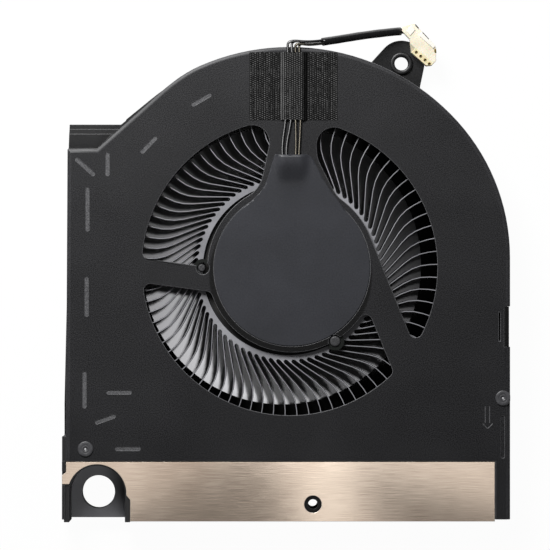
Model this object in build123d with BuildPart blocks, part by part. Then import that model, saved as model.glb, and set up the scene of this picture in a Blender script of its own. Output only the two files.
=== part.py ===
from build123d import *
from math import atan2, cos, degrees, hypot, radians, sin, sqrt, tan
import os

os.makedirs("parts", exist_ok=True)

# A flat radial blower for a notebook computer, lying with its motor side up.
# The origin is on the axis of the corner mounting hole, in the plane of the underside.
# +X runs along the lower outlet, +Y away from it and +Z up, out of the cover.
# Plan positions below are taken from the rotor axis unless a comment says otherwise.

# Overall sizes
fan_height = 12.0
rotor_x = 39.9
rotor_y = 46.7
corner_to_left = 7.3
corner_to_front = 5.4
sheet = 0.5
floor_thickness = 0.9
wall = 1.2
skirt_gap = 0.1
skirt_depth = 2.4
slip = 0.15

# Rotor
impeller_radius = 39.0
hub_radius = 19.2
blade_count = 77
blade_thickness = 0.25
blade_lean = 34.5
blade_bend_radius = 9.4
blade_bend_end = 29.5
blade_bend_flats = 3
blade_pitch_drift = 4.5
blade_phase = 2.0
slot_root_radius = 19.56
floor_running_gap = 0.8
cover_running_gap = 0.9

# Scroll of the case, three tangent arcs
tip_gap = 5.6
scroll_drift = 4.1
scroll_left_x = 0.3
scroll_right_x = 3.9
scroll_right_y = 2.5
tongue_angle = 130.0
lower_right_wall = 3.0

# Left outlet and the block beside it
outlet_top_y = 24.0
block_height = 9.4
block_reach = 5.2
block_lip_drop = 0.8
block_lip_width = 1.0
block_run = 4.9
block_side_inset = 1.45
lip_cut_overrun = 7.0
cover_left_slant = 0.35
cover_corner_inset = 1.15
cover_corner_rise = 1.1
diagonal_reach = 6.5
diagonal_angle = 132.5
diagonal_inset = 1.1
tongue_inset = 0.6
case_slant_start = -28.0

# Cover
bevel_width = 0.8
bevel_drop = 0.42
rim_radius = 30.8
rim_x = 0.25
rim_y = 0.4
ring_radius = 17.6
ring_x = 0.73
ring_y = 0.31
kidney_corner = 1.4
kidney_end_corner = 3.6
arm_flare = 6.5
arm_angle = 22.0
groove_width = 0.8
groove_depth = 0.12
wire_window_radius = 3.1
wire_window_y = 20.0
latch_y = -11.9
latch_length = 8.4
latch_depth = 1.25
latch_slot_width = 0.3

# Floor inlet
floor_inlet_radius = 29.4
floor_inlet_x = -1.35
floor_inlet_y = 0.95

# Corner mounting well and screw post
corner_hole_radius = 3.43
corner_floor = 3.0
well_radius = 5.8
well_wall = 1.1
post_x = 5.1
post_y = -48.9
post_radius = 2.5
post_hole_radius = 1.0

# Heads that hold the cover
stake_radius = 0.85
stake_head_radius = 1.6
stake_head_height = 0.3
stake_hole_gap = 0.1
corner_stake_x = -42.3
corner_stake_y = -37.4
right_stake_inset = 1.5
right_stake_y = -26.8

# Ear with its rubber ring
ear_angle = 61.23
ear_reach = 3.05
ear_radius = 4.85
ear_thickness = 2.2
grommet_bore_radius = 1.44
grommet_neck_radius = 1.95
grommet_flange_radius = 2.36
grommet_flange = 0.6
grommet_bevel = 0.2

# Outlet plate
plate_inner_y = -40.1
plate_hole_radius = 1.8
plate_lip = 1.0
plate_overlap = 0.4
plate_overhang = 0.4
tab_top_y = -42.9
tab_bottom_y = -44.75

# Motor
shaft_radius = 0.75
running_fit = 0.02
sleeve_radius = 2.2
tube_radius = 2.8
stator_radius = 15.6
air_gap = 0.3
magnet_thickness = 1.35
yoke_thickness = 0.6
tooth_count = 9
tooth_width = 2.2
insulator_thickness = 0.4
coil_build = 0.6
coil_hub_gap = 1.2
coil_shoe_gap = 1.0
coil_floor_gap = 1.0
coil_board_gap = 0.9
chip_height = 0.5
board_thickness = 0.6
board_radius = 16.4
pin_radius = 1.2
pin_circle = 17.85
pin_angles = (179.0, -57.0)
hub_floor = 1.2

# Label, wires, sleeve, tape and plug
label_radius = 16.25
label_thickness = 0.12
label_recess = 0.1
label_neck_end = 24.05
wire_diameter = 0.55
wire_lift = 0.05
sleeve_bore_radius = 0.73
sleeve_wall = 0.13
tape_left = -8.1
tape_right = 10.2
tape_front = 31.15
tape_back = 45.25
tape_thickness = 0.18
contact_pitch = 1.25
contact_count = 4
housing_height = 3.2

# Heights
wall_top = fan_height - sheet
blade_bottom = floor_thickness + floor_running_gap
blade_top = wall_top - cover_running_gap
board_bottom = wall_top - board_thickness

# Plan sizes that follow from the ones above
case_inset = sheet + skirt_gap
scroll_left_radius = impeller_radius + tip_gap + wall + case_inset
scroll_right_radius = scroll_left_radius - scroll_drift
scroll_top = scroll_left_radius
right_edge = scroll_right_x + scroll_right_radius
left_edge = -rotor_x - corner_to_left
front_edge = -rotor_y - corner_to_front
scroll_step_x = scroll_right_x - scroll_left_x
scroll_step_y = scroll_right_y - scroll_top
scroll_top_radius = (
    scroll_right_radius ** 2 - scroll_step_x ** 2 - scroll_step_y ** 2
) / (2 * (scroll_step_y + scroll_right_radius))
scroll_join_angle = degrees(atan2(scroll_step_y + scroll_top_radius, scroll_step_x))
lower_wall_x = right_edge - case_inset - lower_right_wall
plate_right = lower_wall_x + plate_overlap
right_stake_x = right_edge - right_stake_inset
cover_front = plate_inner_y + slip
cover_top_left = (left_edge + cover_corner_inset, outlet_top_y + cover_corner_rise)
diagonal_start = (diagonal_reach - scroll_left_radius, cover_top_left[1])


def level(height):
    # Plan plane at a height, with its own origin on the rotor axis.
    return Plane(origin=(rotor_x, rotor_y, height))


def side(plan_x):
    # Upright plane across X: its first axis is plan Y, its second is height.
    return Plane(origin=(rotor_x + plan_x, rotor_y, 0), x_dir=(0, 1, 0), z_dir=(1, 0, 0))


def scroll(inset, end_angle):
    # The three tangent arcs of the scroll wall, from the right edge round to the tongue.
    top_centre_y = scroll_top - scroll_top_radius
    right = CenterArc((scroll_right_x, scroll_right_y), scroll_right_radius - inset, 0, scroll_join_angle)
    CenterArc(
        (scroll_left_x, top_centre_y),
        scroll_top_radius - inset,
        scroll_join_angle,
        90 - scroll_join_angle,
    )
    left = CenterArc((scroll_left_x, 0), scroll_left_radius - inset, 90, end_angle - 90)
    return right @ 0, left @ 1


def polar(radius, angle, centre_x=0.0, centre_y=0.0):
    return (centre_x + radius * cos(radians(angle)), centre_y + radius * sin(radians(angle)))


# Places on the scroll
diagonal_end = polar(scroll_left_radius - diagonal_inset, diagonal_angle)
ear_x, ear_y = polar(scroll_left_radius + ear_reach, ear_angle)

# Lower case: floor with its round inlet, scroll wall, block, corner well, post, ear and cover heads
ear_base = grommet_flange
ear_left_angle = 137.0
ear_right_angle = -12.0
ear_foot_left = (-9.3, -3.0)
ear_foot_right = (3.1, -8.9)
block_left = left_edge + block_side_inset
block_left_foot = (left_edge + 1.0, 16.6)
block_back = cover_top_left[1] + block_reach
block_right = diagonal_start[0] + block_run
duct_diagonal_run = 0.9
duct_diagonal_x = diagonal_start[0] + duct_diagonal_run
duct_tongue = polar(scroll_left_radius - case_inset - wall - tongue_inset, diagonal_angle)
duct_corner = (-rotor_x + well_radius + well_wall, -34.8)
duct_corner_radius = 3.0
narrow_start = -22.0
narrow_end = -28.5
bar_reach = 0.6
bar_front = front_edge - bar_reach
bar_middle = (bar_front - front_edge) / 2 - corner_to_front
rail_width = 0.7
rail_end = tab_top_y + rail_width + slip
head_bevel = 0.14
latch_pad = 0.35
beyond = 10.0
with BuildPart() as lower_case:
    with BuildSketch(level(0)):
        with BuildLine():
            start, end = scroll(case_inset, tongue_angle)
            Polyline(
                end,
                (block_right, block_back),
                (block_left, block_back),
                block_left_foot,
                (left_edge, case_slant_start),
                (left_edge, front_edge),
                (right_edge - case_inset, front_edge),
                start,
            )
        make_face()
    extrude(amount=wall_top)
    with BuildSketch(level(ear_base)):
        with Locations((ear_x, ear_y)):
            Circle(ear_radius)
        with BuildLine():
            Polyline(
                polar(ear_radius, ear_left_angle, ear_x, ear_y),
                (ear_x + ear_foot_left[0], ear_y + ear_foot_left[1]),
                (ear_x + ear_foot_right[0], ear_y + ear_foot_right[1]),
                polar(ear_radius, ear_right_angle, ear_x, ear_y),
                (ear_x, ear_y),
                close=True,
            )
        make_face()
    extrude(amount=ear_thickness)
    with BuildSketch(level(floor_thickness)) as duct:
        with BuildLine():
            start, end = scroll(case_inset + wall, tongue_angle + 2)
            Polyline(
                end,
                duct_tongue,
                (duct_diagonal_x, outlet_top_y),
                (left_edge - beyond, outlet_top_y),
                (left_edge - beyond, duct_corner[1]),
                duct_corner,
                (duct_corner[0], front_edge - beyond),
                (lower_wall_x, front_edge - beyond),
                (lower_wall_x, narrow_end),
                (right_edge - case_inset - wall, narrow_start),
                start,
            )
        make_face()
        fillet(duct.vertices().sort_by_distance(duct_corner)[0], duct_corner_radius)
    extrude(amount=fan_height, mode=Mode.SUBTRACT)
    # The block's top steps down outside the cover
    with BuildSketch(level(block_height)):
        with BuildLine():
            Polyline(
                (left_edge - 1, cover_top_left[1] + slip),
                (diagonal_start[0], diagonal_start[1] + slip),
                (diagonal_start[0] + block_reach + 1, block_back + 1),
                (left_edge - 1, block_back + 1),
                close=True,
            )
        make_face()
    extrude(amount=fan_height, mode=Mode.SUBTRACT)
    with BuildSketch(side(left_edge - 1)):
        with BuildLine():
            Polyline(
                (block_back - 2 * block_lip_width, block_height),
                (block_back - block_lip_width, block_height - block_lip_drop),
                (block_back + 1, block_height - block_lip_drop),
                (block_back + 1, fan_height),
                (block_back - 2 * block_lip_width, fan_height),
                close=True,
            )
        make_face()
    extrude(amount=diagonal_start[0] - left_edge + lip_cut_overrun, mode=Mode.SUBTRACT)
    # Corner well, open to the front, with a bar on each side
    with BuildSketch(Plane.XY):
        with Locations((0, bar_middle)):
            Rectangle(2 * (well_radius + well_wall), front_edge - bar_front)
    extrude(amount=wall_top)
    with BuildSketch(Plane.XY.offset(corner_floor)):
        Circle(well_radius)
        with Locations((0, -corner_to_front)):
            Rectangle(2 * well_radius, 2 * corner_to_front)
    extrude(amount=fan_height, mode=Mode.SUBTRACT)
    with BuildSketch(Plane.XY):
        with Locations((0, bar_middle)):
            Rectangle(2 * well_radius, front_edge - bar_front)
    extrude(amount=fan_height, mode=Mode.SUBTRACT)
    with Locations((0, 0, 0)):
        Cylinder(corner_hole_radius, 3 * corner_floor, mode=Mode.SUBTRACT)
    # Rail along the left edge, flush with the cover, open where the plate's tab lies
    with BuildSketch(level(wall_top)):
        with Locations((left_edge + rail_width / 2, (cover_front + rail_end) / 2)):
            Rectangle(rail_width, cover_front - rail_end)
        with Locations((left_edge + rail_width / 2, (tab_bottom_y - slip + front_edge) / 2)):
            Rectangle(rail_width, tab_bottom_y - slip - front_edge)
    extrude(amount=sheet)
    # Screw post in the lower outlet
    with BuildSketch(level(0)):
        with Locations((post_x, post_y)):
            Circle(post_radius)
    extrude(amount=wall_top)
    # Latch pad at the right, and the two heads
    with BuildSketch(level(0)):
        with Locations((right_edge - case_inset, latch_y)):
            Rectangle(2 * latch_pad, latch_length - 2 * slip)
    extrude(amount=wall_top - slip)
    with BuildSketch(level(wall_top)):
        with Locations((corner_stake_x, corner_stake_y), (right_stake_x, right_stake_y)):
            Circle(stake_radius)
    extrude(amount=sheet)
    with BuildSketch(level(fan_height)):
        with Locations((corner_stake_x, corner_stake_y), (right_stake_x, right_stake_y)):
            Circle(stake_head_radius)
    extrude(amount=stake_head_height)
    heads = lower_case.faces().sort_by(Axis.Z)[-2:]
    chamfer(heads.edges(), head_bevel)
    with BuildSketch(level(fan_height)):
        with Locations((right_edge + stake_head_radius, right_stake_y)):
            Rectangle(2 * stake_head_radius, 4 * stake_head_radius)
    extrude(amount=1, mode=Mode.SUBTRACT)
    # Through openings
    with BuildSketch(level(0)):
        with Locations((floor_inlet_x, floor_inlet_y)):
            Circle(floor_inlet_radius)
    extrude(amount=floor_thickness, mode=Mode.SUBTRACT)
    with BuildSketch(level(0)):
        with Locations((post_x, post_y)):
            Circle(post_hole_radius)
        with Locations((ear_x, ear_y)):
            Circle(grommet_neck_radius)
    extrude(amount=fan_height, mode=Mode.SUBTRACT)
lower_case.part.label = "lower_case"
export_step(lower_case.part, "parts/lower_case.step")

# Top cover: bevelled sheet with a skirt round the scroll, three inlet openings and the motor seat
skirt_end_angle = 114.0
arm_tangent = polar(ring_radius, arm_angle, ring_x, ring_y)


def past_rim(foot, angle):
    # A point beyond the round rim, on the line that leaves a foot at an angle.
    return polar(rim_radius, angle, *foot)


def nearest(sketch, target, radius):
    # The sketch's corner closest to where a target's direction meets a radius.
    reach = radius / hypot(*target)
    return sketch.vertices().sort_by_distance((target[0] * reach, target[1] * reach))[0]


left_foot = (-6.6, 13.7)
left_foot_angle = 78.0
right_foot = (11.4, 12.5)
right_foot_angle = 116.8
kink_angle = 92.3
kink_drop = 7.6
kink_y = rim_radius - kink_drop
right_kink = (right_foot[0] + (kink_y - right_foot[1]) / tan(radians(right_foot_angle)), kink_y)
top_arm = (
    left_foot,
    past_rim(left_foot, left_foot_angle),
    past_rim(right_kink, kink_angle),
    right_kink,
    right_foot,
)
left_arm_top = (-16.0, 0.4)
left_arm_bottom = (-16.0, -4.7)
left_arm_angle = 172.4
left_arm = (
    past_rim(left_arm_top, left_arm_angle),
    left_arm_top,
    left_arm_bottom,
    past_rim(left_arm_bottom, left_arm_angle),
)
right_arm_foot = (16.2, -7.5)
right_arm_angle = -67.8
right_arm = (
    arm_tangent,
    past_rim(arm_tangent, arm_angle - 90),
    past_rim(right_arm_foot, right_arm_angle),
    right_arm_foot,
    (ring_x, ring_y),
)
groove_inset = 1.55
groove_corner = 0.24
latch_slot_inset = 2.2
latch_slot_end = 1.2
groove_lines = (
    ((-44.06, 22.9), (-40.73, 19.9)),
    ((-37.7, 24.0), (-37.7, 19.9)),
    ((-30.4, 24.6), (-27.8, 27.3)),
    ((-19.8, 34.4), (-16.5, 36.3)),
    ((-41.87, 16.7), (-41.87, 8.4)),
    ((-42.06, -1.9), (-42.06, -9.4)),
    ((-42.5, -21.7), (-42.5, -28.5)),
    ((-37.5, -25.6), (-33.1, -25.6)),
    ((-39.9, -31.85), (-36.4, -30.6)),
    ((-35.7, -37.38), (-31.2, -37.38)),
    ((right_edge - groove_inset, -30.9), (right_edge - groove_inset, -38.9)),
)
with BuildPart() as top_cover:
    with BuildSketch(level(fan_height - skirt_depth)):
        with BuildLine():
            start, end = scroll(0, skirt_end_angle)
            Spline(
                end,
                diagonal_end,
                tangents=(
                    (cos(radians(skirt_end_angle + 90)), sin(radians(skirt_end_angle + 90))),
                    (diagonal_start[0] - diagonal_end[0], diagonal_start[1] - diagonal_end[1]),
                ),
            )
            Polyline(
                diagonal_end,
                diagonal_start,
                cover_top_left,
                (cover_top_left[0] - cover_left_slant, cover_front),
                (plate_right + slip, cover_front),
                (plate_right + slip, front_edge),
                (right_edge, front_edge),
                start,
            )
        make_face()
    extrude(amount=skirt_depth)
    top_face = top_cover.faces().sort_by(Axis.Z)[-1]
    plate_line = rotor_y + cover_front
    strip_line = rotor_x + plate_right + slip
    bevel_edges = [
        edge
        for edge in top_face.edges()
        if edge.center().Y > plate_line + 1 or edge.center().X > strip_line + 2
    ]
    chamfer(bevel_edges, length=bevel_width, length2=bevel_drop, reference=top_face)
    with BuildSketch(level(0)):
        with BuildLine():
            start, end = scroll(sheet, skirt_end_angle)
            Polyline(
                end,
                (end.X - sheet, end.Y + beyond),
                (left_edge - beyond, end.Y + beyond),
                (left_edge - beyond, front_edge - beyond),
                (right_edge - sheet, front_edge - beyond),
                start,
            )
        make_face()
    extrude(amount=wall_top, mode=Mode.SUBTRACT)
    # Inlet openings: the round rim less the motor seat and its three arms
    with BuildSketch(level(wall_top)) as inlets:
        with Locations((rim_x, rim_y)):
            Circle(rim_radius)
        with Locations((ring_x, ring_y)):
            Circle(ring_radius, mode=Mode.SUBTRACT)
        for arm in (top_arm, left_arm, right_arm):
            with BuildLine():
                Polyline(*arm, close=True)
            make_face(mode=Mode.SUBTRACT)
        # The openings' ends at the upper arm and the arm's own feet are rounded more than the rest
        fillet([nearest(inlets, left_foot, ring_radius), nearest(inlets, right_foot, ring_radius)], arm_flare)
        fillet(nearest(inlets, right_kink, hypot(*right_kink)), arm_flare)
        fillet(
            [nearest(inlets, top_arm[1], rim_radius), nearest(inlets, top_arm[2], rim_radius)],
            kidney_end_corner,
        )
        corners = [
            corner
            for corner in inlets.vertices()
            if corner.Y < left_foot[1] - 1
            and hypot(corner.X - arm_tangent[0], corner.Y - arm_tangent[1]) > 1
        ]
        fillet(corners, kidney_corner)
    extrude(amount=sheet, mode=Mode.SUBTRACT)
    with BuildSketch(level(wall_top)):
        with Locations((ring_x, wire_window_y)):
            Circle(wire_window_radius)
        Circle(tube_radius)
        for angle in pin_angles:
            with Locations(polar(pin_circle, angle)):
                Circle(pin_radius + slip)
        with Locations((corner_stake_x, corner_stake_y), (right_stake_x, right_stake_y)):
            Circle(stake_radius + stake_hole_gap)
    extrude(amount=sheet, mode=Mode.SUBTRACT)
    with BuildSketch(level(fan_height - label_recess)):
        with Locations((ring_x, ring_y)):
            Circle(label_radius + slip)
    extrude(amount=label_recess, mode=Mode.SUBTRACT)
    # Latch notch at the right edge, and the short slot beside it
    with BuildSketch(level(0)):
        with Locations((right_edge, latch_y)):
            Rectangle(2 * latch_depth, latch_length)
    extrude(amount=fan_height, mode=Mode.SUBTRACT)
    with BuildSketch(level(wall_top)):
        with Locations((right_edge - latch_slot_inset, latch_y)):
            Rectangle(latch_slot_width, latch_length - 2 * latch_slot_end)
    extrude(amount=sheet, mode=Mode.SUBTRACT)
    with BuildSketch(level(fan_height)):
        for first, last in groove_lines:
            run_x = last[0] - first[0]
            run_y = last[1] - first[1]
            run_angle = degrees(atan2(run_y, run_x))
            with BuildSketch(mode=Mode.PRIVATE) as groove:
                Rectangle(hypot(run_x, run_y) + groove_width, groove_width)
                chamfer(groove.vertices(), groove_corner)
            with Locations(Location(((first[0] + last[0]) / 2, (first[1] + last[1]) / 2), run_angle)):
                add(groove.sketch)
    extrude(amount=-groove_depth, mode=Mode.SUBTRACT)
top_cover.part.label = "top_cover"
export_step(top_cover.part, "parts/top_cover.step")

# Outlet plate: thin strip beside the cover, cut round the corner well, with a lip down at the front
plate_front = front_edge - plate_overhang
plate_well_gap = 0.3
plate_lip_thickness = 0.3
plate_left = left_edge + rail_width + slip
step_top = (-rotor_x + well_radius, -46.7)
step_bottom = (-rotor_x + well_radius + well_wall, -48.0)
with BuildPart() as outlet_plate:
    with BuildSketch(level(wall_top)):
        with BuildLine():
            Polyline(
                (plate_left, plate_inner_y),
                (plate_left, tab_top_y + rail_width),
                (left_edge, tab_top_y),
                (left_edge, tab_bottom_y),
                (-rotor_x, tab_bottom_y),
                (-rotor_x, step_top[1]),
                step_top,
                step_bottom,
                (step_bottom[0], plate_front),
                (plate_right, plate_front),
                (plate_right, plate_inner_y),
                close=True,
            )
        make_face()
        with Locations((-rotor_x, -rotor_y)):
            Circle(well_radius + plate_well_gap, mode=Mode.SUBTRACT)
        with Locations((post_x, post_y)):
            Circle(plate_hole_radius, mode=Mode.SUBTRACT)
    extrude(amount=sheet)
    with BuildSketch(level(wall_top - plate_lip)):
        with Locations(((plate_right + step_bottom[0]) / 2, plate_front + plate_lip_thickness / 2)):
            Rectangle(plate_right - step_bottom[0], plate_lip_thickness)
    extrude(amount=sheet + plate_lip)
outlet_plate.part.label = "outlet_plate"
export_step(outlet_plate.part, "parts/outlet_plate.step")

# Ear grommet: rubber ring with a flange on each side of the ear
with BuildPart() as ear_grommet:
    with BuildSketch(level(0)):
        with Locations((ear_x, ear_y)):
            Circle(grommet_flange_radius)
    extrude(amount=grommet_flange)
    with BuildSketch(level(grommet_flange)):
        with Locations((ear_x, ear_y)):
            Circle(grommet_neck_radius)
    extrude(amount=ear_thickness)
    with BuildSketch(level(grommet_flange + ear_thickness)):
        with Locations((ear_x, ear_y)):
            Circle(grommet_flange_radius)
    extrude(amount=grommet_flange)
    rims = ear_grommet.edges().filter_by(GeomType.CIRCLE).group_by(Axis.Z)
    chamfer([rims[0].sort_by(SortBy.RADIUS)[-1], rims[-1].sort_by(SortBy.RADIUS)[-1]], grommet_bevel)
    with BuildSketch(level(0)):
        with Locations((ear_x, ear_y)):
            Circle(grommet_bore_radius)
    extrude(amount=ear_thickness + 2 * grommet_flange, mode=Mode.SUBTRACT)
ear_grommet.part.label = "ear_grommet"
export_step(ear_grommet.part, "parts/ear_grommet.step")

# Impeller: hub cup and its curved blades, one moulding with a single closed plan outline
line_end = blade_bend_end - blade_bend_radius * sin(radians(blade_lean))
bend_drop = blade_bend_radius * (1 - cos(radians(blade_lean)))
hub_inner_radius = stator_radius + air_gap + magnet_thickness + yoke_thickness
hub_pocket_bottom = blade_bottom + hub_floor
boss_radius = 2.4
boss_height = 1.0
shaft_bottom = blade_bottom + 0.5
slot_flat = 0.25
slot_depth = 0.45


def blade_angle(index):
    # The pitch drifts round the hub, wide on one side and narrow on the other.
    even = 360 * index / blade_count
    return even + blade_phase + blade_pitch_drift * sin(radians(even))


def blade_side(index, hand):
    # Points along one side of a blade: root, then the bend in a few flats, and the tip.
    offset = hand * blade_thickness / 2
    lean = radians(blade_lean)
    run_x = line_end - offset * sin(lean)
    run_y = -bend_drop + offset * cos(lean)
    along = run_x * cos(lean) + run_y * sin(lean)
    back = along - sqrt(along ** 2 + slot_root_radius ** 2 - run_x ** 2 - run_y ** 2)
    radius = blade_bend_radius + offset
    places = [(run_x - back * cos(lean), run_y - back * sin(lean))]
    for step in range(blade_bend_flats + 1):
        turned = lean * (1 - step / blade_bend_flats)
        places.append((blade_bend_end - radius * sin(turned), radius * cos(turned) - blade_bend_radius))
    places.append((impeller_radius, offset))
    turn = radians(blade_angle(index))
    return [Vector(x * cos(turn) - y * sin(turn), x * sin(turn) + y * cos(turn)) for x, y in places]


with BuildPart() as impeller:
    with BuildSketch(level(blade_bottom)):
        outline = []
        for index in range(blade_count):
            near = blade_side(index, 1)
            far = blade_side(index, -1)
            following = blade_side((index + 1) % blade_count, -1)
            # The gap's end is rounded with three flats between the two blades
            inward = (near[0] - near[1]).normalized()
            across = inward.rotate(Axis.Z, 90)
            mouth = near[0] + across * (following[0] - near[0]).dot(across)
            width = mouth - near[0]
            first_corner = near[0] + width * slot_flat + inward * width.length * slot_depth
            second_corner = mouth - width * slot_flat + inward * width.length * slot_depth
            outline += [*far, *reversed(near), first_corner, second_corner, mouth]
        with BuildLine():
            Polyline(*outline, close=True)
        make_face()
    extrude(amount=blade_top - blade_bottom)
    with BuildSketch(level(hub_pocket_bottom)):
        Circle(hub_inner_radius)
    extrude(amount=fan_height, mode=Mode.SUBTRACT)
    with BuildSketch(level(hub_pocket_bottom)):
        Circle(boss_radius)
    extrude(amount=boss_height)
    with BuildSketch(level(shaft_bottom)):
        Circle(shaft_radius)
    extrude(amount=fan_height, mode=Mode.SUBTRACT)
impeller.part.label = "impeller"
export_step(impeller.part, "parts/impeller.step")

# Rotor yoke: steel cup pressed in the hub
yoke_bottom = hub_pocket_bottom
yoke_drop = 1.0
yoke_top = blade_top - yoke_drop
with BuildPart() as rotor_yoke:
    with BuildSketch(level(yoke_bottom)):
        Circle(hub_inner_radius)
    extrude(amount=yoke_top - yoke_bottom)
    with BuildSketch(level(yoke_bottom + yoke_thickness)):
        Circle(hub_inner_radius - yoke_thickness)
    extrude(amount=fan_height, mode=Mode.SUBTRACT)
    with BuildSketch(level(yoke_bottom)):
        Circle(boss_radius)
    extrude(amount=fan_height, mode=Mode.SUBTRACT)
rotor_yoke.part.label = "rotor_yoke"
export_step(rotor_yoke.part, "parts/rotor_yoke.step")

# Magnet ring inside the yoke
coil_bottom = yoke_bottom + yoke_thickness + coil_floor_gap
coil_top = board_bottom - chip_height - coil_board_gap
core_bottom = coil_bottom + coil_build + insulator_thickness
core_top = coil_top - coil_build - insulator_thickness
magnet_overhang = 1.0
magnet_bottom = core_bottom - magnet_overhang
magnet_height = core_top - core_bottom + 2 * magnet_overhang
with BuildPart() as magnet_ring:
    with BuildSketch(level(magnet_bottom)):
        Circle(hub_inner_radius - yoke_thickness)
        Circle(stator_radius + air_gap, mode=Mode.SUBTRACT)
    extrude(amount=magnet_height)
magnet_ring.part.label = "magnet_ring"
export_step(magnet_ring.part, "parts/magnet_ring.step")

# Shaft with a groove near its top, and the ring that snaps in the groove
sleeve_bottom = yoke_bottom + boss_height + 0.2
sleeve_top = board_bottom - 0.5
shaft_top = sleeve_top + 0.7
groove_bottom = sleeve_top + 0.12
groove_height = 0.26
with BuildPart() as shaft:
    with BuildSketch(level(shaft_bottom)):
        Circle(shaft_radius)
    extrude(amount=shaft_top - shaft_bottom)
    with BuildSketch(level(groove_bottom)):
        Circle(shaft_radius)
        Circle(shaft_radius - 0.2, mode=Mode.SUBTRACT)
    extrude(amount=groove_height, mode=Mode.SUBTRACT)
    chamfer(shaft.faces().sort_by(Axis.Z)[-1].edges(), 0.15)
shaft.part.label = "shaft"
export_step(shaft.part, "parts/shaft.step")

with BuildPart() as retaining_ring:
    with BuildSketch(level(groove_bottom + 0.03)):
        Circle(sleeve_radius - 0.6)
        Circle(shaft_radius - 0.2, mode=Mode.SUBTRACT)
        with Locations((sleeve_radius, 0)):
            Rectangle(2 * sleeve_radius, shaft_radius, mode=Mode.SUBTRACT)
    extrude(amount=groove_height - 0.06)
retaining_ring.part.label = "retaining_ring"
export_step(retaining_ring.part, "parts/retaining_ring.step")

# Bearing tube held in the cover, with the sleeve, the thrust pad and the cap in it
with BuildPart() as bearing_tube:
    with BuildSketch(level(sleeve_bottom)):
        Circle(tube_radius)
        Circle(sleeve_radius, mode=Mode.SUBTRACT)
    extrude(amount=fan_height - label_recess - sleeve_bottom)
bearing_tube.part.label = "bearing_tube"
export_step(bearing_tube.part, "parts/bearing_tube.step")

with BuildPart() as bearing_sleeve:
    with BuildSketch(level(sleeve_bottom)):
        Circle(sleeve_radius)
        Circle(shaft_radius + running_fit, mode=Mode.SUBTRACT)
    extrude(amount=sleeve_top - sleeve_bottom)
bearing_sleeve.part.label = "bearing_sleeve"
export_step(bearing_sleeve.part, "parts/bearing_sleeve.step")

pad_bottom = shaft_top + running_fit
pad_thickness = 0.3
with BuildPart() as thrust_pad:
    with BuildSketch(level(pad_bottom)):
        Circle(sleeve_radius)
    extrude(amount=pad_thickness)
thrust_pad.part.label = "thrust_pad"
export_step(thrust_pad.part, "parts/thrust_pad.step")

with BuildPart() as tube_cap:
    with BuildSketch(level(pad_bottom + pad_thickness)):
        Circle(sleeve_radius)
    extrude(amount=fan_height - label_recess - pad_bottom - pad_thickness)
tube_cap.part.label = "tube_cap"
export_step(tube_cap.part, "parts/tube_cap.step")

# Stator: laminated core of T-shaped teeth, an insulator on each face, and a coil round each tooth
shoe_depth = 1.4
shoe_gap = 0.9
hub_ring_radius = 5.4
tooth_start = hub_ring_radius - 0.5
tooth_end = stator_radius - shoe_depth / 2
tooth_pitch = 360 / tooth_count
shoe_angle = tooth_pitch - degrees(shoe_gap / stator_radius)


def star(outline_growth):
    # Plan of a ring on the bearing tube with straight teeth.
    with BuildSketch(mode=Mode.PRIVATE) as plan:
        Circle(hub_ring_radius + outline_growth)
        with PolarLocations(0, tooth_count):
            with Locations(((tooth_start + tooth_end) / 2, 0)):
                Rectangle(tooth_end - tooth_start, tooth_width + 2 * outline_growth)
        Circle(tube_radius, mode=Mode.SUBTRACT)
    return plan.sketch


core_plan = star(0)
insulator_plan = star(insulator_thickness / 2)
with BuildPart() as stator_core:
    with BuildSketch(level(core_bottom)):
        add(core_plan)
        for index in range(tooth_count):
            first_angle = index * tooth_pitch - shoe_angle / 2
            with BuildLine():
                outer = CenterArc((0, 0), stator_radius, first_angle, shoe_angle)
                inner = CenterArc((0, 0), stator_radius - shoe_depth, first_angle, shoe_angle)
                Line(outer @ 0, inner @ 0)
                Line(outer @ 1, inner @ 1)
            make_face()
    extrude(amount=core_top - core_bottom)
stator_core.part.label = "stator_core"
export_step(stator_core.part, "parts/stator_core.step")

with BuildPart() as lower_insulator:
    with BuildSketch(level(core_bottom - insulator_thickness)):
        add(insulator_plan)
    extrude(amount=insulator_thickness)
lower_insulator.part.label = "lower_insulator"
export_step(lower_insulator.part, "parts/lower_insulator.step")

with BuildPart() as upper_insulator:
    with BuildSketch(level(core_top)):
        add(insulator_plan)
    extrude(amount=insulator_thickness)
upper_insulator.part.label = "upper_insulator"
export_step(upper_insulator.part, "parts/upper_insulator.step")

coil_bore_width = tooth_width + insulator_thickness
coil_height = coil_top - coil_bottom
coil_inner_radius = hub_ring_radius + coil_hub_gap
coil_outer_radius = stator_radius - shoe_depth - coil_shoe_gap
with BuildPart() as coils:
    for index in range(tooth_count):
        frame = level(coil_bottom).rotated((0, 0, index * tooth_pitch))
        with BuildSketch(frame):
            with Locations(((coil_inner_radius + coil_outer_radius) / 2, 0)):
                Rectangle(coil_outer_radius - coil_inner_radius, coil_bore_width + 2 * coil_build)
        extrude(amount=coil_height)
        with BuildSketch(frame.offset(coil_build)):
            with Locations(((coil_inner_radius + coil_outer_radius) / 2, 0)):
                Rectangle(coil_outer_radius - coil_inner_radius, coil_bore_width)
        extrude(amount=coil_height - 2 * coil_build, mode=Mode.SUBTRACT)
coils.part.label = "coils"
export_step(coils.part, "parts/coils.step")

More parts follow.
